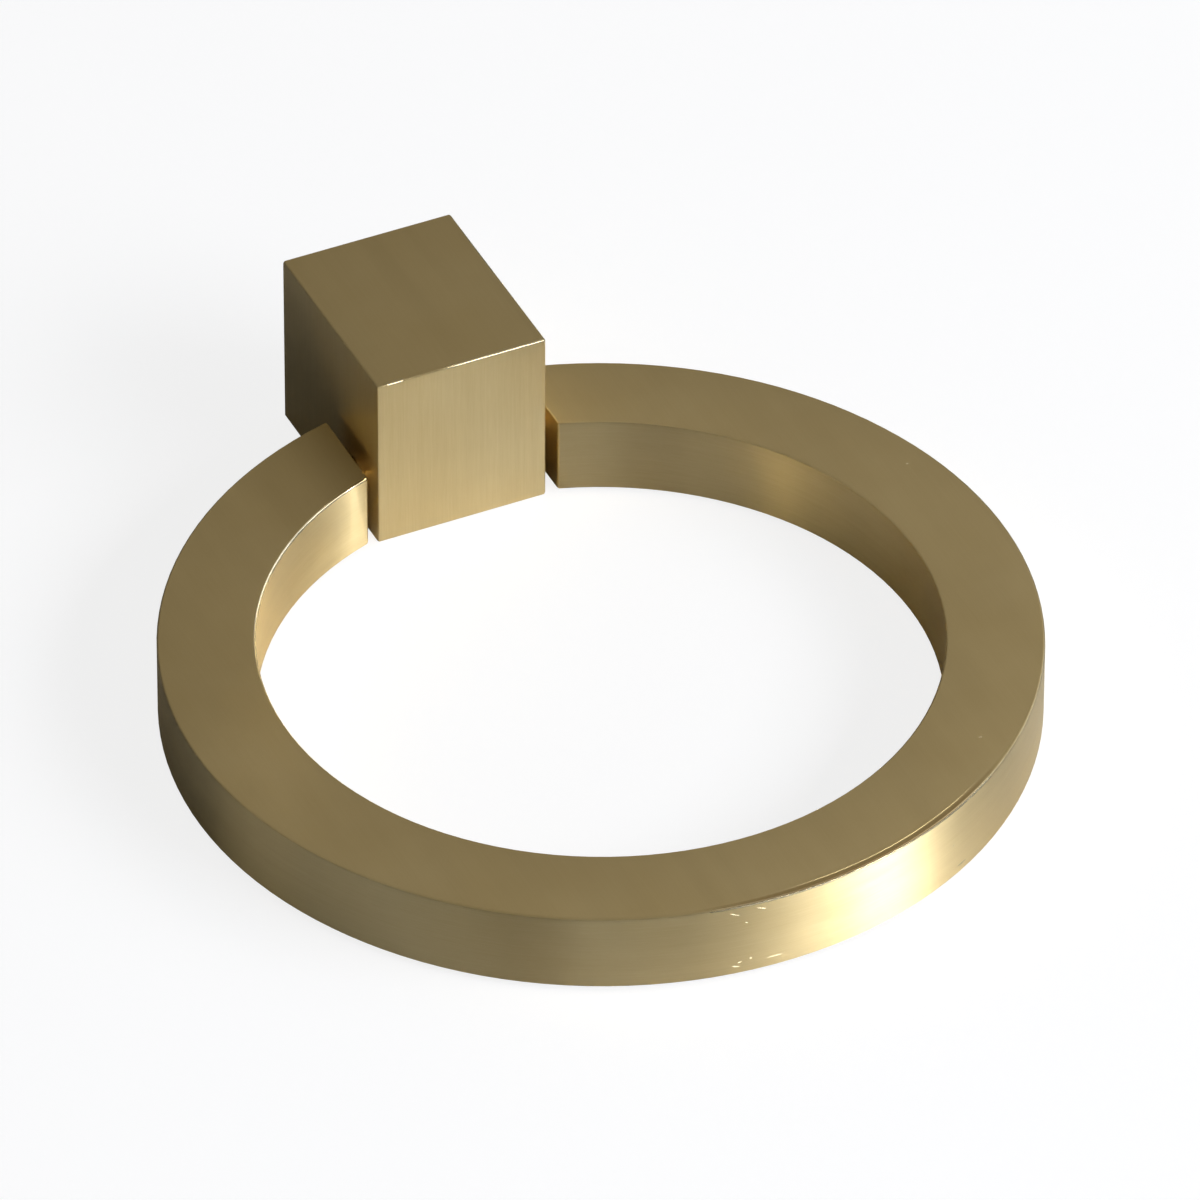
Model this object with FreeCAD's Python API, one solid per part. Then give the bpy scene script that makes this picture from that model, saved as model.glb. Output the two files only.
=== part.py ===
import FreeCAD, Part
import math
import os

# Ring pull handle for a drawer or cabinet front, in millimetres.
# The origin is the mouth of the mounting hole, in the middle of the post's base.
# +Z points away from the drawer front, which is the plane z = 0.
# The ring lies toward -Y, parallel to that front, and lifts about a pin along X.

V = FreeCAD.Vector

# Ring
RING_OUTER_DIAMETER = 76.0
RING_BAND = 8.5
RING_THICKNESS = 7.4
RING_ARRIS = 0.2

# Post
POST_WIDTH = 16.1
POST_DEPTH = 19.9
POST_HEIGHT = 17.2
POST_ARRIS = 0.2

# Fit of the ring round the post
END_GAP = 1.0
NOSE_LEAD = 0.25
SURFACE_GAP = 0.4
HEEL_GAP = 0.3
HEEL_RUNOUT = 0.2

# Pivot pin
PIN_DIAMETER = 3.0
PIN_RUNNING_CLEARANCE = 0.05
PIN_SEAT_DEPTH = 4.0
PIN_END_CLEARANCE = 0.05
PIN_CHAMFER = 0.3
CROSS_BORE_CHAMFER = 0.3

# Mounting hole, tapped M4 on a coarse thread
THREAD_DIAMETER = 4.0
THREAD_DEPTH = 10.0
HOLE_CHAMFER = 0.25
DRILL_POINT_ANGLE = 118.0

# Sizes that follow from the ones above
OUTER_R = RING_OUTER_DIAMETER / 2.0
INNER_R = OUTER_R - RING_BAND
END_X = POST_WIDTH / 2.0 + END_GAP
END_INNER_Y = math.sqrt(INNER_R ** 2 - END_X ** 2)
END_OUTER_Y = math.sqrt(OUTER_R ** 2 - END_X ** 2)
RING_Y = -POST_DEPTH / 2.0 - NOSE_LEAD - END_INNER_Y
RING_Z = SURFACE_GAP
PIN_Z = RING_Z + RING_THICKNESS / 2.0
HEEL_R = PIN_Z - HEEL_GAP
PIN_Y = RING_Y + END_OUTER_Y + HEEL_RUNOUT - HEEL_R
PIN_R = PIN_DIAMETER / 2.0
PIN_HALF_LENGTH = END_X + PIN_SEAT_DEPTH - PIN_END_CLEARANCE


def cylinder_x(radius, x0, x1):
    """Cylinder about the pin's axis from x0 to x1."""
    return Part.makeCylinder(radius, x1 - x0, V(x0, PIN_Y, PIN_Z), V(1, 0, 0))


def cone_x(r0, r1, x0, x1):
    """Cone about the pin's axis with radius r0 at x0 and r1 at x1, x0 below x1."""
    return Part.makeCone(r0, r1, x1 - x0, V(x0, PIN_Y, PIN_Z), V(1, 0, 0))


def softened(solid, size):
    """The solid with every edge broken by a small bevel."""
    return solid.makeChamfer(size, solid.Edges)


def mounting_hole():
    """Blind tapped hole up from the base, with a drilled point and a chamfered mouth."""
    radius = THREAD_DIAMETER / 2.0
    point = radius / math.tan(math.radians(DRILL_POINT_ANGLE / 2.0))
    profile = Part.makePolygon([
        V(0, 0, 0),
        V(radius + HOLE_CHAMFER, 0, 0),
        V(radius, 0, HOLE_CHAMFER),
        V(radius, 0, THREAD_DEPTH),
        V(0, 0, THREAD_DEPTH + point),
        V(0, 0, 0),
    ])
    return Part.Face(profile).revolve(V(0, 0, 0), V(0, 0, 1), 360)


def cross_bore():
    """Bore for the pin through both sides of the post, with chamfered mouths."""
    radius = PIN_R + PIN_RUNNING_CLEARANCE
    half = POST_WIDTH / 2.0
    bore = cylinder_x(radius, -half, half)
    wide = radius + CROSS_BORE_CHAMFER
    left = cone_x(wide, radius, -half, -half + CROSS_BORE_CHAMFER)
    right = cone_x(radius, wide, half - CROSS_BORE_CHAMFER, half)
    return bore.fuse([left, right])


def make_post():
    """Solid square post that stands on the drawer front."""
    corner = V(-POST_WIDTH / 2.0, -POST_DEPTH / 2.0, 0)
    block = Part.makeBox(POST_WIDTH, POST_DEPTH, POST_HEIGHT, corner)
    block = softened(block, POST_ARRIS)
    return block.cut([mounting_hole(), cross_bore()])


def heel_waste():
    """What is taken off the lower back of both ring ends, so that the ring can lift."""
    back = OUTER_R
    blank = Part.makeBox(2 * OUTER_R, back, PIN_Z, V(-OUTER_R, PIN_Y, 0))
    return blank.cut(cylinder_x(HEEL_R, -OUTER_R, OUTER_R))


def open_ring():
    """Flat ring of rectangular section with a straight slot for the post."""
    centre = V(0, RING_Y, RING_Z)
    disc = Part.makeCylinder(OUTER_R, RING_THICKNESS, centre)
    hole = Part.makeCylinder(INNER_R, RING_THICKNESS, centre)
    slot = Part.makeBox(2 * END_X, OUTER_R, RING_THICKNESS, V(-END_X, RING_Y, RING_Z))
    return disc.cut([hole, slot])


def pin_seats():
    """Blind bores in both ring ends that hold the pin."""
    inner = END_X + PIN_SEAT_DEPTH
    left = cylinder_x(PIN_R, -inner, -END_X)
    right = cylinder_x(PIN_R, END_X, inner)
    return [left, right]


def make_ring():
    """One-piece open ring with softened edges, rounded heels and seats for the pin."""
    ring = softened(open_ring(), RING_ARRIS)
    return ring.cut(heel_waste()).cut(pin_seats())


def make_pivot_pin():
    """Plain pin through the post, held in both ring ends."""
    body = cylinder_x(PIN_R, -PIN_HALF_LENGTH, PIN_HALF_LENGTH)
    ends = [e for e in body.Edges if isinstance(e.Curve, Part.Circle)]
    return body.makeChamfer(PIN_CHAMFER, ends)


def single_solid(shape):
    """The one solid that a node holds, cleaned of leftover seams."""
    solids = shape.removeSplitter().Solids
    if len(solids) != 1 or not solids[0].isValid():
        raise ValueError("expected one valid solid")
    return solids[0]


def main():
    os.makedirs("parts", exist_ok=True)
    nodes = {
        "post": make_post(),
        "ring": make_ring(),
        "pivot_pin": make_pivot_pin(),
    }
    for name, shape in nodes.items():
        solid = single_solid(shape)
        solid.exportStep("parts/" + name + ".step")
        box = solid.optimalBoundingBox(False)
        print(name, "volume %.1f" % solid.Volume,
              "x %.2f %.2f" % (box.XMin, box.XMax),
              "y %.2f %.2f" % (box.YMin, box.YMax),
              "z %.2f %.2f" % (box.ZMin, box.ZMax))
    print("pin axis y %.3f z %.3f, ring centre y %.3f" % (PIN_Y, PIN_Z, RING_Y))


main()
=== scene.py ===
import math

import bpy
from mathutils import Matrix, Vector


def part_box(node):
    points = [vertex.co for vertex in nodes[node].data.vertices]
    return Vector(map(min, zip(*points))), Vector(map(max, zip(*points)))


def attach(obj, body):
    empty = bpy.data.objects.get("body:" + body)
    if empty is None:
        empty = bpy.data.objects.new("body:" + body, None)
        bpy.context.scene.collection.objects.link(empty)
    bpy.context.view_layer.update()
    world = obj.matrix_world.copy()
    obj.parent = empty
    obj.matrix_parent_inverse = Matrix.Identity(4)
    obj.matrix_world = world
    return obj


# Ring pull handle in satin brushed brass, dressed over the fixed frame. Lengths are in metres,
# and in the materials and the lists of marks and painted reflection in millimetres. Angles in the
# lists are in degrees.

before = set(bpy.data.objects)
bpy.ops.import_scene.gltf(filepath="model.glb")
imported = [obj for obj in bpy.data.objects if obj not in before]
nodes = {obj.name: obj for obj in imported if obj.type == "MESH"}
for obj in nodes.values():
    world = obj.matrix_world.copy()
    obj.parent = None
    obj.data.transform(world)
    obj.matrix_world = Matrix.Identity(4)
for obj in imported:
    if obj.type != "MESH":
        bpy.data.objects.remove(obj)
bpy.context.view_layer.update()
scene = bpy.context.scene

MM = 1000
ring_lo, ring_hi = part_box("ring")
post_lo, post_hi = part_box("post")

# Places on the part, in millimetres: radii of the ring's outer wall, the middle of its band and
# its inner wall, y of its centre, its top, the post's front, side and top, and y of the hinge.
RING_R = (ring_hi.x - ring_lo.x) / 2 * MM
BAND_R = 34.0
INNER_R = 29.5
RING_CY = ring_lo.y * MM + RING_R
RING_TOP = ring_hi.z * MM
POST_FRONT = post_lo.y * MM
POST_SIDE = post_hi.x * MM
POST_TOP = post_hi.z * MM
HINGE_Y = sum(corner.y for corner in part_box("pivot_pin")) / 2 * MM


# ---------------------------------------------------------------- node helpers

class Tree:
    """Small wrapper that adds shader nodes and links them."""

    NOISE_SPAN = (0.3, 0.7)     # where most of a noise lies

    def __init__(self, tree):
        self.t = tree
        self.t.nodes.clear()

    def node(self, kind, **props):
        n = self.t.nodes.new(kind)
        for key, value in props.items():
            setattr(n, key, value)
        return n

    def put(self, socket, value):
        if isinstance(value, bpy.types.NodeSocket):
            self.t.links.new(value, socket)
        elif value is not None:
            socket.default_value = value

    def math(self, op, a, b=None, clamp=False):
        n = self.node("ShaderNodeMath", operation=op, use_clamp=clamp)
        self.put(n.inputs[0], a)
        self.put(n.inputs[1], b)
        return n.outputs[0]

    def vmath(self, op, a, b=None, scale=None):
        n = self.node("ShaderNodeVectorMath", operation=op)
        self.put(n.inputs[0], a)
        self.put(n.inputs[1], b)
        if scale is not None:
            self.put(n.inputs["Scale"], scale)
        return n.outputs["Value" if op in ("DOT_PRODUCT", "LENGTH") else "Vector"]

    def vector(self, x, y, z):
        n = self.node("ShaderNodeCombineXYZ")
        for socket, value in zip(n.inputs, (x, y, z)):
            self.put(socket, value)
        return n.outputs[0]

    def split(self, v):
        n = self.node("ShaderNodeSeparateXYZ")
        self.put(n.inputs[0], v)
        return n.outputs

    def noise(self, v, scale, detail, rough):
        n = self.node("ShaderNodeTexNoise", noise_dimensions="3D")
        self.put(n.inputs["Vector"], v)
        self.put(n.inputs["Scale"], scale)
        self.put(n.inputs["Detail"], detail)
        self.put(n.inputs["Roughness"], rough)
        return n.outputs["Fac"]

    def remap(self, v, from_min, from_max, to_min, to_max, smooth=False):
        kind = "SMOOTHSTEP" if smooth else "LINEAR"
        n = self.node("ShaderNodeMapRange", interpolation_type=kind)
        self.put(n.inputs["Value"], v)
        self.put(n.inputs["From Min"], from_min)
        self.put(n.inputs["From Max"], from_max)
        self.put(n.inputs["To Min"], to_min)
        self.put(n.inputs["To Max"], to_max)
        return n.outputs["Result"]

    def swing(self, noise, middle, reach):
        """Noise brought to a middle value and a reach each way."""
        return self.remap(noise, *self.NOISE_SPAN, middle - reach, middle + reach)

    def less(self, v):
        """What v leaves of 1."""
        return self.math("SUBTRACT", 1.0, v)

    def mix(self, fac, a, b):
        factor, first, second, result = 0, 6, 7, 2
        n = self.node("ShaderNodeMix", data_type="RGBA")
        self.put(n.inputs[factor], fac)
        self.put(n.inputs[first], a)
        self.put(n.inputs[second], b)
        return n.outputs[result]

    def turn(self, v, kind="VECTOR", back=False):
        """Vector or normal from the object's frame to the world's, or back."""
        here, there = ("WORLD", "OBJECT") if back else ("OBJECT", "WORLD")
        n = self.node("ShaderNodeVectorTransform", vector_type=kind,
                      convert_from=here, convert_to=there)
        self.put(n.inputs[0], v)
        return n.outputs[0]

    def distance(self, v, centre, size, turn=0.0):
        """Distance of v from the centre of an ellipsoid, 1 on its surface."""
        n = self.node("ShaderNodeMapping", vector_type="TEXTURE")
        self.put(n.inputs["Vector"], v)
        self.put(n.inputs["Location"], centre)
        self.put(n.inputs["Rotation"], (0, 0, math.radians(turn)))
        self.put(n.inputs["Scale"], size)
        return self.vmath("LENGTH", n.outputs[0])

    def shade(self, kind, **values):
        """Shader with its sockets set by name, underscores for spaces."""
        n = self.node(kind)
        for name, value in values.items():
            self.put(n.inputs[name.replace("_", " ")], value)
        return n.outputs[0]

    def blend(self, fac, a, b):
        n = self.node("ShaderNodeMixShader")
        for socket, value in zip(n.inputs, (fac, a, b)):
            self.put(socket, value)
        return n.outputs[0]

    def output(self, kind, shader):
        self.put(self.node(kind).inputs[0], shader)


# ---------------------------------------------------------------- brass

BRASS_DEEP = (0.745, 0.575, 0.270, 1)
BRASS_PALE = (0.845, 0.680, 0.355, 1)
# Paler bare brass: worn metal on nicks; on rubbed arrises it also paints light onto the arris line.
BARE_AND_PAINTED_LIGHT = (0.95, 0.86, 0.62, 1)
# Brown of a painted dark reflection, not a colour of the brass.
PAINTED_REFLECTION_BROWN = (0.42, 0.27, 0.10, 1)

# Brushing: the noise's scale along the grain against that across it, its scale, detail and
# roughness. CLOUD is the same in all directions and has the last three.
FINE = (0.030, 12.0, 2.0, 0.6)
HAIR = (0.016, 5.5, 3.0, 0.65)
BAND = (0.020, 0.9, 2.0, 0.5)
SPOTS = (0.10, 0.5, 2.0, 0.55)
CLOUD = (0.07, 3.0, 0.5)

LAPPED_CALM = 0.65                              # what a lapped face loses of its brushing
LINE_TONE, BAND_TONE = 0.16, 0.10               # swing of the tone, from deep (0) to pale (1)
CLOUD_TONE = (0.5, 0.3)                         # middle and swing of the same
HAIR_ROUGH, SPOTS_ROUGH = 0.025, 0.02           # swing of the roughness
# Rubbed arrises turn paler: worn metal, and also painted light that lifts their dark reflection
# line.
RUBBED_PALE_AND_PAINTED_LIGHT, RUBBED_SMOOTHER = 0.5, 0.26        # bare metal and gloss where it is rubbed
FINE_HEIGHT, HAIR_HEIGHT = 0.8, 0.7             # shares of the height, which is in metres
BUMP_STRENGTH, BUMP_HEIGHT = 0.5, 6e-6
MARK_CORE = 0.55                                # part of a mark's reach before it fades out

# Kinds of mark: colour, how much of it shows, what it takes off the roughness, how it leans.
KINDS = {
    "nick": (BARE_AND_PAINTED_LIGHT, 0.35, 0.06, (0.26, -0.06, 0.10)),
    # The brown kind is painted reflection: a dark band where a rounded arris would mirror the dark
    # room.
    "painted_reflection": (PAINTED_REFLECTION_BROWN, 0.60, 0.0, (0.0, 0.0, 0.0)),
    "burr": (BRASS_DEEP, 0.80, -0.25, (0.25, -0.95, 0.0)),
}


def brass(name, mapping, aniso, rough, lines=1.0, marks_and_painted_band=()):
    """Satin brass. mapping(tree, position) gives the grain's vector, in millimetres with the
    grain along its X, the direction across the grain, how flat-lapped the face is, how rubbed
    an arris is, the normal, and the vector that marks and the painted reflection band are
    placed in. lines scales the height of the brushing."""
    mat = bpy.data.materials.new(name)
    mat.use_nodes = True
    t = Tree(mat.node_tree)
    coord = t.node("ShaderNodeTexCoord")
    mm = t.vmath("SCALE", coord.outputs["Object"], scale=MM)
    grain, across, lapped, rubbed_and_painted_light, shape, wrap = mapping(t, mm)
    along, over, deep = t.split(grain)

    def brushed(short, *kind):
        return t.noise(t.vector(t.math("MULTIPLY", along, short), over, deep), *kind)

    fine, hair, band, spots = [brushed(*kind) for kind in (FINE, HAIR, BAND, SPOTS)]
    calm = t.less(t.math("MULTIPLY", lapped, LAPPED_CALM))
    calm = t.math("MULTIPLY", calm, t.less(rubbed_and_painted_light))

    tone = t.math("ADD", t.swing(hair, 0, LINE_TONE), t.swing(fine, 0, LINE_TONE))
    tone = t.math("ADD", tone, t.swing(band, 0, BAND_TONE))
    tone = t.math("MULTIPLY", tone, calm)
    tone = t.math("ADD", tone, t.swing(t.noise(mm, *CLOUD), *CLOUD_TONE), clamp=True)
    color = t.mix(tone, BRASS_DEEP, BRASS_PALE)
    # Worn metal and painted light: rubbed arrises are mixed paler, brightening the arris line.
    color = t.mix(t.math("MULTIPLY", rubbed_and_painted_light, RUBBED_PALE_AND_PAINTED_LIGHT), color, BARE_AND_PAINTED_LIGHT)

    gloss = t.math("MULTIPLY", t.swing(hair, 0, HAIR_ROUGH), calm)
    gloss = t.math("ADD", gloss, t.swing(spots, rough, SPOTS_ROUGH))
    gloss = t.math("SUBTRACT", gloss, t.math("MULTIPLY", rubbed_and_painted_light, RUBBED_SMOOTHER))

    height = t.math("MULTIPLY", fine, FINE_HEIGHT)
    height = t.math("ADD", height, t.math("MULTIPLY", hair, HAIR_HEIGHT))
    bump = t.node("ShaderNodeBump")
    t.put(bump.inputs["Strength"], BUMP_STRENGTH)
    t.put(bump.inputs["Distance"], BUMP_HEIGHT * lines)
    t.put(bump.inputs["Height"], t.math("MULTIPLY", height, calm))
    t.put(bump.inputs["Normal"], shape)
    normal = bump.outputs[0]

    hits = {}
    for kind, space, place, turn, size in marks_and_painted_band:
        reach = t.distance(wrap if space == "wall" else mm, place, size, turn)
        hit = t.remap(reach, MARK_CORE, 1.0, 1.0, 0.0, smooth=True)
        hits[kind] = t.math("MAXIMUM", hits[kind], hit) if kind in hits else hit
    # Each kind tints the colour; the brown band paints a dark reflection into it.
    for kind, hit in hits.items():
        tint, share, smoother, facet = KINDS[kind]
        color = t.mix(t.math("MULTIPLY", hit, share), color, tint)
        gloss = t.math("SUBTRACT", gloss, t.math("MULTIPLY", hit, smoother))
        lean = t.vmath("SCALE", t.turn(facet), scale=hit)
        normal = t.vmath("NORMALIZE", t.vmath("ADD", normal, lean))

    t.output("ShaderNodeOutputMaterial", t.shade(
        "ShaderNodeBsdfPrincipled", Metallic=1.0, Anisotropic=aniso, Base_Color=color,
        Roughness=gloss, Normal=normal, Tangent=t.turn(across)))
    return mat


# ---------------------------------------------------------------- arrises

WORN_CORE = 0.70                                # part of a worn stretch before it fades out
KEENNESS = (3.5, 6.0)                           # least and most keen, as powers of two
KEEN_NOISE, KEEN_SPAN = (0.13, 1.0, 0.5), (0.35, 0.65)
TILT_DOWN, TILT_UP, TILT_FADE = 0.7, 1.35, 0.1  # weight of the underside and of the top
EASE = 0.9
RUBBED_FADE = (0.985, 0.9998)                   # likeness to a face's normal where it ends


def arris(t, mm, n, parts, place, worn, curved=0.0):
    """Shape of the arrises: keen and brushed, apart from the worn stretches, which are rubbed
    smooth and more or less round. parts are the lengths that the object normal n has towards
    the faces, one for each of its components. curved is 1 on faces that are round themselves,
    which keep their normal. Returns the normal in the object's and in the world's frame, and
    how rubbed the place is."""
    soft, rubbed_and_painted_light = curved, 0.0
    for centre, size, roundness in worn:
        reach = t.distance(place, centre, size)
        near = t.remap(reach, WORN_CORE, 1.0, 1.0, 0.0, smooth=True)
        soft = t.math("MAXIMUM", soft, t.math("MULTIPLY", near, roundness))
        rubbed_and_painted_light = t.math("MAXIMUM", rubbed_and_painted_light, near)
    keen = t.remap(t.noise(mm, *KEEN_NOISE), *KEEN_SPAN, *KEENNESS)
    keen = t.math("MULTIPLY", t.less(soft), keen)
    power = t.math("SUBTRACT", t.math("POWER", 2.0, keen), 1.0)
    # The face above has the larger share of a bevel: the top of an upper, the wall of a lower.
    tilt = t.remap(t.split(n)[2], -TILT_FADE, TILT_FADE, TILT_DOWN, TILT_UP)
    towards = (parts[0], parts[1], t.math("MULTIPLY", parts[2], tilt))
    tight = [t.math("POWER", part, power) for part in towards]
    shape = t.vmath("NORMALIZE", t.vmath("MULTIPLY", n, t.vector(*tight)))
    # An upward normal is eased back to the surface's own, or its reflections fall under it.
    ease = t.math("MULTIPLY", t.math("MAXIMUM", t.split(shape)[2], 0.0), EASE)
    shape = t.vmath("NORMALIZE", t.vmath("ADD", shape, t.vmath("SCALE", n, scale=ease)))
    highest = t.math("MAXIMUM", t.math("MAXIMUM", parts[0], parts[1]), parts[2])
    rubbed_and_painted_light = t.math("MULTIPLY", rubbed_and_painted_light, t.remap(highest, *RUBBED_FADE, 1.0, 0.0))
    return shape, t.turn(shape, "NORMAL"), rubbed_and_painted_light


def object_normal(t):
    return t.turn(t.node("ShaderNodeNewGeometry").outputs["Normal"], "NORMAL", back=True)


# ---------------------------------------------------------------- how the grain runs

X, Z = (1.0, 0.0, 0.0), (0.0, 0.0, 1.0)
FLAT_FADE = (0.6, 0.8)                          # upward part of a normal, from wall to flat
HEEL_EDGE, HEEL_FADE = 0.2, (-0.10, -0.01)      # where the heels begin, along y and upward
PIN_ACROSS = (0.0, 1.0, 0.3)


def flatness(t, shape):
    """1 on faces that point up or down, 0 on walls."""
    return t.remap(t.math("ABSOLUTE", t.split(shape)[2]), *FLAT_FADE, 0.0, 1.0)


def ring_mapping(t, mm):
    """Grain that runs round the ring's walls, with its seam in the slot, along the round heels
    of its ends, and front to back on its flat faces."""
    x, y, z = t.split(mm)
    dy = t.math("SUBTRACT", y, RING_CY)
    radius = t.vmath("LENGTH", t.vector(x, dy, 0.0))
    angle = t.math("ARCTAN2", x, t.math("MULTIPLY", dy, -1.0))
    wrap = t.vector(t.math("MULTIPLY", angle, RING_R), z, t.math("SUBTRACT", radius, RING_R))
    n = object_normal(t)
    nx, ny, nz = t.split(n)
    side = t.vmath("LENGTH", t.vector(nx, ny, 0.0))
    behind = t.remap(y, HINGE_Y - HEEL_EDGE, HINGE_Y, 0.0, 1.0)
    heel = t.math("MULTIPLY", behind, t.remap(nz, *HEEL_FADE, 1.0, 0.0))
    parts = (side, side, t.math("ABSOLUTE", nz))
    shape, normal, rubbed_and_painted_light = arris(t, mm, n, parts, wrap, RING_WORN, heel)
    flat = t.math("MULTIPLY", flatness(t, shape), t.less(heel))
    round_wall = t.vector(t.math("MULTIPLY", angle, BAND_R), radius, z)
    grain = t.mix(flat, round_wall, t.vector(y, x, z))
    across = t.mix(flat, t.vector(*Z), t.vector(*X))
    across = t.mix(heel, across, t.vmath("CROSS_PRODUCT", X, n))
    return grain, across, flat, rubbed_and_painted_light, normal, wrap


def post_mapping(t, mm):
    """Grain that runs up the post's sides and front to back on its ends."""
    x, y, z = t.split(mm)
    n = object_normal(t)
    parts = [t.math("ABSOLUTE", c) for c in t.split(n)]
    shape, normal, rubbed_and_painted_light = arris(t, mm, n, parts, mm, POST_WORN)
    flat = flatness(t, shape)
    grain = t.mix(flat, t.vector(z, x, y), t.vector(y, x, z))
    across = t.mix(flat, t.vmath("CROSS_PRODUCT", shape, Z), t.vector(*X))
    return grain, across, flat, rubbed_and_painted_light, normal, mm


def pin_mapping(t, mm):
    """Grain that runs along the pin."""
    return mm, t.vector(*PIN_ACROSS), 0.0, 0.0, None, mm


# ---------------------------------------------------------------- marks, a painted reflection and worn stretches

# How far a mark or a worn stretch reaches off its face.
OFF_WALL, OFF_TOP, OFF_RIM, OFF_ARRIS = 1.0, 0.5, 0.3, 1.0


def round_ring(angle):
    """Way round the ring's outer wall to an angle from its free end."""
    return math.radians(angle) * RING_R


def on_wall(angle, height, length, width, turn=0.0):
    """Nick on the ring's outer wall, at an angle from the free end."""
    size = (length / 2, width / 2, OFF_WALL)
    return "nick", "wall", (round_ring(angle), height, 0.0), turn, size


def on_top(angle, radius, length, width):
    """Nick on the ring's upper face, at an angle from the free end."""
    a = math.radians(angle)
    place = (radius * math.sin(a), RING_CY - radius * math.cos(a), RING_TOP)
    return "nick", "face", place, 0.0, (length / 2, width / 2, OFF_TOP)


def on_rim(kind, angle, reach, depth, width):
    """Line on the ring's upper face at a depth from the outer arris: mid-angle from the free
    end and reach each way."""
    place = (round_ring(angle), RING_TOP, -depth)
    return kind, "wall", place, 0.0, (round_ring(reach), OFF_RIM, width / 2)


def along_ring(angle, reach, radius, roundness):
    """Worn stretch of the ring's upper arris at a radius: mid-angle from the free end, reach
    each way, and how round it is."""
    centre = (round_ring(angle), RING_TOP, radius - RING_R)
    return centre, (round_ring(reach), OFF_ARRIS, OFF_ARRIS), roundness


RING_WORN = (
    along_ring(12, 26, RING_R, 0.0),
    along_ring(-134, 34, INNER_R, 1.0),
    along_ring(98, 6, RING_R, 0.4),
    along_ring(160, 5, RING_R, 0.4),
)
# Centre, reach along X, Y and Z, and how round it is.
POST_WORN = (
    ((3.6, POST_FRONT, POST_TOP), (5.6, OFF_ARRIS, OFF_ARRIS), 0.75),
    ((-6.3, POST_FRONT, POST_TOP), (0.9, OFF_ARRIS, OFF_ARRIS), 0.75),
    ((POST_SIDE, 4.0, POST_TOP), (OFF_ARRIS, 4.0, OFF_ARRIS), 0.5),
)
RING_MARKS_AND_PAINTED_BAND = (
    on_wall(-8.0, 7.0, 1.20, 0.15, -24),
    on_wall(-4.4, 7.1, 1.20, 0.13, -20),
    on_wall(-6.4, 5.9, 0.35, 0.12, -30),
    on_wall(-5.8, 1.9, 0.26, 0.26),
    on_wall(-7.8, 1.3, 0.95, 0.14, -14),
    on_wall(-7.3, 1.7, 0.55, 0.12, 20),
    on_wall(-2.5, 1.5, 1.70, 0.12),
    on_wall(28.4, 1.3, 1.60, 0.14),
    on_wall(26.5, 4.0, 0.45, 0.22, 30),
    on_wall(52.0, 2.9, 0.90, 0.16, 8),
    on_wall(-121.0, 4.6, 0.80, 0.18, -12),
    on_wall(131.0, 3.1, 1.10, 0.18, 10),
    on_top(106.6, 35.6, 0.30, 0.22),
    on_top(41.8, 35.0, 0.42, 0.24),
    # Painted reflection: a brown band along the outer arris by the highlight, not a mark on the
    # metal.
    on_rim("painted_reflection", 13, 29, 0.36, 0.78),
    on_rim("burr", 16, 23, 0.70, 0.030),
)


# ---------------------------------------------------------------- CAD nodes

CREASE_ANGLE = 50
SAME_POINT = 1e-6
FACE_WEIGHT = 80


def creases():
    """Node group that joins doubled points and keeps only the edges over the crease angle
    sharp."""
    g = bpy.data.node_groups.new("creases", "GeometryNodeTree")
    for side in ("INPUT", "OUTPUT"):
        g.interface.new_socket("Geometry", in_out=side, socket_type="NodeSocketGeometry")
    n, link = g.nodes.new, g.links.new
    start, end = n("NodeGroupInput"), n("NodeGroupOutput")
    merge = n("GeometryNodeMergeByDistance")
    merge.inputs["Distance"].default_value = SAME_POINT
    angle = n("GeometryNodeInputMeshEdgeAngle")
    soft = n("ShaderNodeMath")
    soft.operation = "LESS_THAN"
    soft.inputs[1].default_value = math.radians(CREASE_ANGLE)
    faces, edges = n("GeometryNodeSetShadeSmooth"), n("GeometryNodeSetShadeSmooth")
    edges.domain = "EDGE"
    link(start.outputs[0], merge.inputs[0])
    link(merge.outputs[0], faces.inputs[0])
    link(faces.outputs[0], edges.inputs[0])
    link(angle.outputs["Unsigned Angle"], soft.inputs[0])
    link(soft.outputs[0], edges.inputs["Shade Smooth"])
    link(edges.outputs[0], end.inputs[0])
    return g


CREASES = creases()


def dress(node, mat):
    """Gives a CAD node its finish, and normals that turn smoothly over its narrow bevels. The
    material's arris() then makes them keen or worn."""
    obj = nodes[node]
    obj.data.materials.clear()
    obj.data.materials.append(mat)
    obj.modifiers.new("creases", "NODES").node_group = CREASES
    weighted = obj.modifiers.new("arris", "WEIGHTED_NORMAL")
    weighted.mode = "FACE_AREA"
    weighted.weight = FACE_WEIGHT
    weighted.keep_sharp = True


SATIN = {"aniso": 0.95, "rough": 0.335}
DRAWN = {"aniso": 0.3, "rough": 0.28, "lines": 0.5}

pin_metal = brass("pin_brass", pin_mapping, **DRAWN)
dress("ring", brass("ring_brass", ring_mapping, **SATIN, marks_and_painted_band=RING_MARKS_AND_PAINTED_BAND))
dress("post", brass("post_brass", post_mapping, **SATIN))
dress("pivot_pin", pin_metal)


# ---------------------------------------------------------------- thread in the mounting hole

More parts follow.
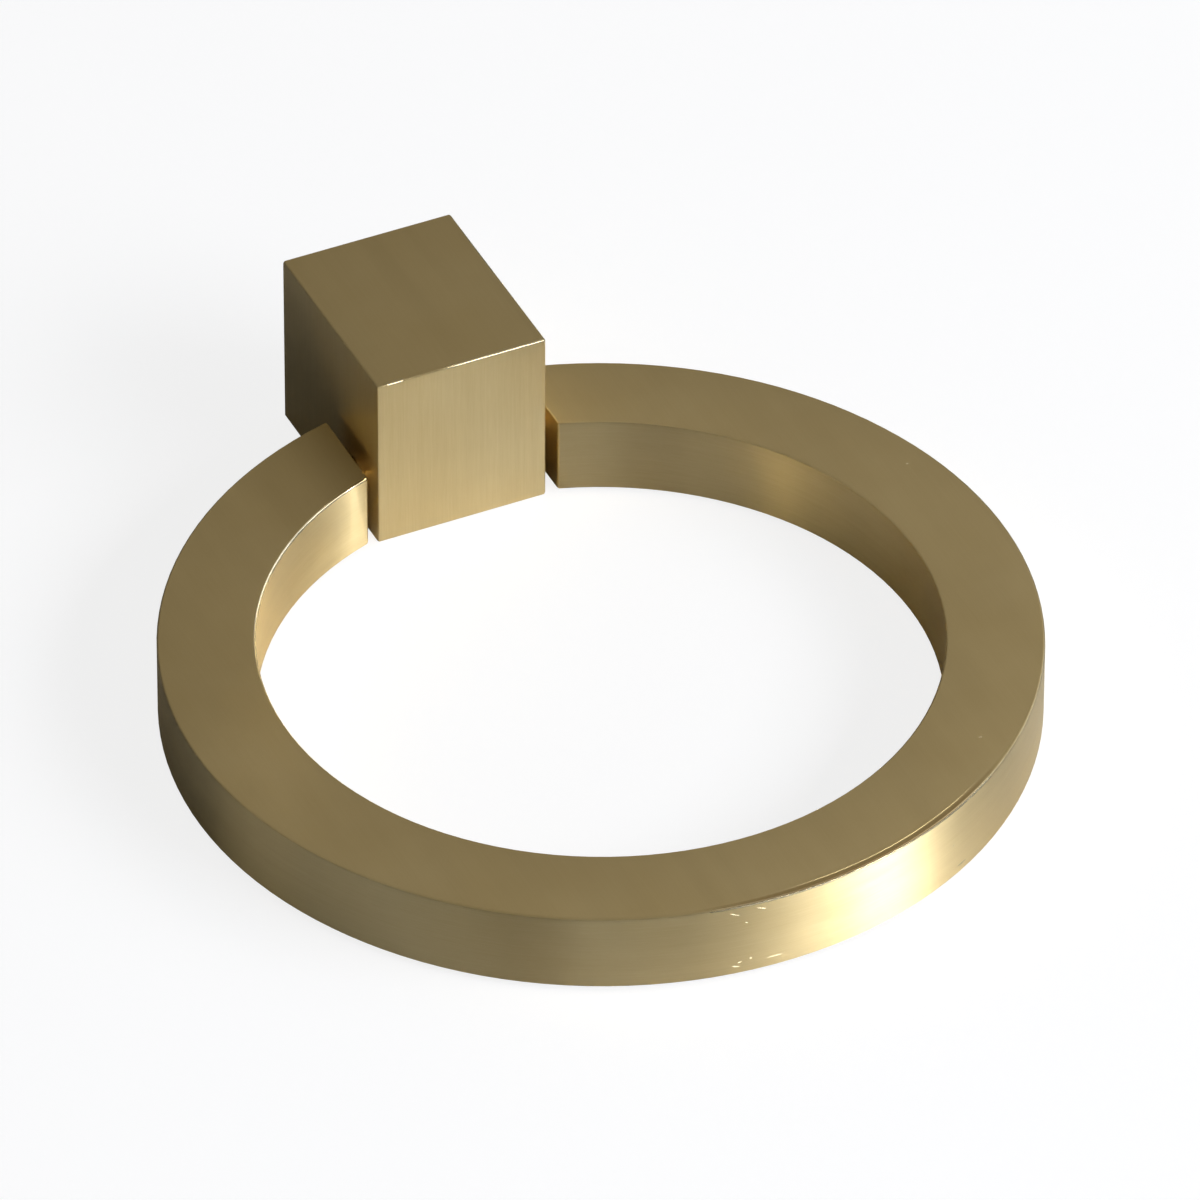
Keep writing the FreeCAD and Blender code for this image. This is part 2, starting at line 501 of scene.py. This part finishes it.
def thread(material):
    """M4 x 0.7 internal thread: one ridge that winds up the mounting hole, on its wall."""
    pitch, root, crest = 0.0007, 0.00203, 0.001621
    root_half, crest_half = 0.000306, 0.0000875
    start, turns, per_turn, run_out = 0.00062, 10.5, 32, 0.5
    corners = 4
    count = int(turns * per_turn)
    verts, faces = [], []
    for i in range(count + 1):
        a = 2 * math.pi * i / per_turn
        z = start + pitch * i / per_turn
        grow = min(1.0, i / (run_out * per_turn), (count - i) / (run_out * per_turn))
        inner = root - (root - crest) * grow
        section = ((root, -root_half), (inner, -crest_half), (inner, crest_half), (root, root_half))
        verts += [(r * math.cos(a), r * math.sin(a), z + dz) for r, dz in section]
    for first in range(0, corners * count, corners):
        after = first + corners
        for k in range(corners):
            n = (k + 1) % corners
            faces.append((first + k, first + n, after + n, after + k))
    faces.append((3, 2, 1, 0))
    faces.append(tuple(corners * count + k for k in range(corners)))
    mesh = bpy.data.meshes.new("mounting_thread")
    mesh.from_pydata(verts, [], faces)
    mesh.materials.append(material)
    obj = bpy.data.objects.new("mounting_thread", mesh)
    scene.collection.objects.link(obj)
    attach(obj, "post_body")


thread(pin_metal)


# ---------------------------------------------------------------- studio

WHITE = (1, 1, 1, 1)
FLOOR_SIZE = 3.0
FLOOR_Z = -0.00002
CARD_COLOR, CARD_ROUGH = (0.37, 0.366, 0.364, 1), 0.4
PAPER_COLOR = (0.61, 0.60, 0.58, 1)
GLOW, GLOW_SHARE = 1.26, 0.66                   # its strength, and its share over the paper


def floor():
    """Plain pale floor just under the post's base. The camera sees it as glowing paper, and
    reflections as a satin card."""
    s, z = FLOOR_SIZE, FLOOR_Z
    mesh = bpy.data.meshes.new("floor")
    mesh.from_pydata([(-s, -s, z), (s, -s, z), (s, s, z), (-s, s, z)], [], [(0, 1, 2, 3)])
    obj = bpy.data.objects.new("floor", mesh)
    scene.collection.objects.link(obj)
    mat = bpy.data.materials.new("floor_pale")
    mat.use_nodes = True
    t = Tree(mat.node_tree)
    card = t.shade("ShaderNodeBsdfPrincipled", Base_Color=CARD_COLOR, Roughness=CARD_ROUGH)
    paper = t.shade("ShaderNodeBsdfDiffuse", Color=PAPER_COLOR)
    glow = t.shade("ShaderNodeEmission", Color=WHITE, Strength=GLOW)
    to_camera = t.node("ShaderNodeLightPath").outputs["Is Camera Ray"]
    seen = t.blend(GLOW_SHARE, paper, glow)
    t.output("ShaderNodeOutputMaterial", t.blend(to_camera, card, seen))
    mesh.materials.append(mat)


def direction(az, el):
    """Way from the part to azimuth az (0 is +X, 90 is +Y) and elevation el."""
    a, e = math.radians(az), math.radians(el)
    return Vector((math.cos(a) * math.cos(e), math.sin(a) * math.cos(e), math.sin(e)))


# Lighter and darker parts of the room: azimuth, elevation, angle at the rim and at the core,
# and what the core adds.
ROOM = (
    (-150, 54, 42, 18, 0.22),
    (40, 82, 48, 20, 0.18),
    (212, -2, 20, 8, -0.05),
)
ROOM_LEVEL, ROOM_COLOR = 0.06, (1.04, 1.0, 0.92, 1)
FILL_LEVEL, FILL_COLOR = 0.055, (0.84, 1.0, 1.18, 1)
WALL_LEVEL = 0.90


def sky():
    """Grey room, cooler where it fills the shadows, that the camera sees as a pale wall."""
    world = bpy.data.worlds.new("studio")
    scene.world = world
    world.use_nodes = True
    t = Tree(world.node_tree)
    way = t.vmath("NORMALIZE", t.node("ShaderNodeTexCoord").outputs["Generated"])
    level = ROOM_LEVEL
    for az, el, rim, core, extra in ROOM:
        near = t.vmath("DOT_PRODUCT", way, tuple(direction(az, el)))
        reach = [math.cos(math.radians(angle)) for angle in (rim, core)]
        level = t.math("ADD", level, t.remap(near, *reach, 0.0, extra, smooth=True))
    room = t.shade("ShaderNodeBackground", Color=ROOM_COLOR, Strength=level)
    fill = t.shade("ShaderNodeBackground", Color=FILL_COLOR, Strength=FILL_LEVEL)
    wall = t.shade("ShaderNodeBackground", Color=WHITE, Strength=WALL_LEVEL)
    rays = t.node("ShaderNodeLightPath").outputs
    around = t.blend(rays["Is Diffuse Ray"], room, fill)
    t.output("ShaderNodeOutputWorld", t.blend(rays["Is Camera Ray"], around, wall))


AIM = Vector((0, -0.03, 0.006))
LIGHT_DISTANCE = 0.80

# Soft lights that face the part: name, azimuth, elevation, width, height, radiance, colour.
LIGHTS = (
    ("key", -51, 32, 0.56, 0.28, 8.2, (0.98, 1.0, 1.08)),
    ("wing", -46, 32, 1.02, 0.28, 3.4, (0.98, 1.0, 1.10)),
    ("core", -43, 32, 0.19, 0.28, 50.0, (0.96, 1.0, 1.08)),
    ("low", -50, 12, 0.52, 0.10, 5.9, (0.84, 1.0, 1.40)),
    ("side", 9, 13, 0.36, 0.07, 4.0, (0.93, 1.0, 1.35)),
    ("window", 11, 32, 0.56, 0.28, 1.65, (0.88, 1.02, 1.34)),
    ("rear", 41, 38, 0.28, 0.46, 0.50, (1.02, 1.0, 0.97)),
    ("back", 72, 42, 0.56, 0.56, 0.205, (1.07, 1.0, 0.90)),
    ("left", 160, 11, 0.34, 0.22, 0.8, (1.05, 1.0, 0.85)),
    ("front", -102, 12, 0.56, 0.22, 1.15, (0.90, 1.0, 1.15)),
    ("far", -165, 12, 0.70, 0.22, 0.5, (0.90, 1.0, 1.15)),
)
# Lights that only glossy rays see.
GLOSS_ONLY = ("core", "window")


def light(name, az, el, width, height, radiance, color):
    data = bpy.data.lights.new(name, "AREA")
    data.shape = "RECTANGLE"
    data.size, data.size_y = width, height
    data.energy = radiance * math.pi * width * height
    data.color = color
    obj = bpy.data.objects.new(name, data)
    scene.collection.objects.link(obj)
    way = direction(az, el)
    obj.location = AIM + way * LIGHT_DISTANCE
    obj.rotation_mode = "QUATERNION"
    obj.rotation_quaternion = way.to_track_quat("Z", "Y")
    obj.visible_diffuse = name not in GLOSS_ONLY


floor()
sky()
for row in LIGHTS:
    light(*row)


# ---------------------------------------------------------------- camera

# Fitted to the photograph: where it looks, from which side and how far, and its lens.
TARGET = Vector((0.006093, -0.025169, 0.0))
AZIMUTH, ELEVATION, ROLL = [math.radians(angle) for angle in (-25.277, 38.794, 0.193)]
DISTANCE = 1.372128
LENS, SENSOR = 475.745, 36.0
CLIP = (0.05, 20.0)


def camera():
    data = bpy.data.cameras.new("camera")
    data.sensor_width = SENSOR
    data.lens = LENS
    data.clip_start, data.clip_end = CLIP
    obj = bpy.data.objects.new("camera", data)
    scene.collection.objects.link(obj)
    level = math.cos(ELEVATION)
    back = Vector((math.sin(AZIMUTH) * level, -math.cos(AZIMUTH) * level, math.sin(ELEVATION)))
    right = (-back).cross(Vector((0, 0, 1))).normalized()
    up = right.cross(-back)
    rolled_right = right * math.cos(ROLL) + up * math.sin(ROLL)
    rolled_up = -right * math.sin(ROLL) + up * math.cos(ROLL)
    turned = Matrix((rolled_right, rolled_up, back)).transposed().to_4x4()
    obj.matrix_world = Matrix.Translation(TARGET + back * DISTANCE) @ turned
    scene.camera = obj


camera()
scene.view_settings.view_transform = "Standard"
scene.view_settings.look = "None"
scene.view_settings.exposure = 0.0
scene.view_settings.gamma = 1.0

bpy.context.view_layer.update()
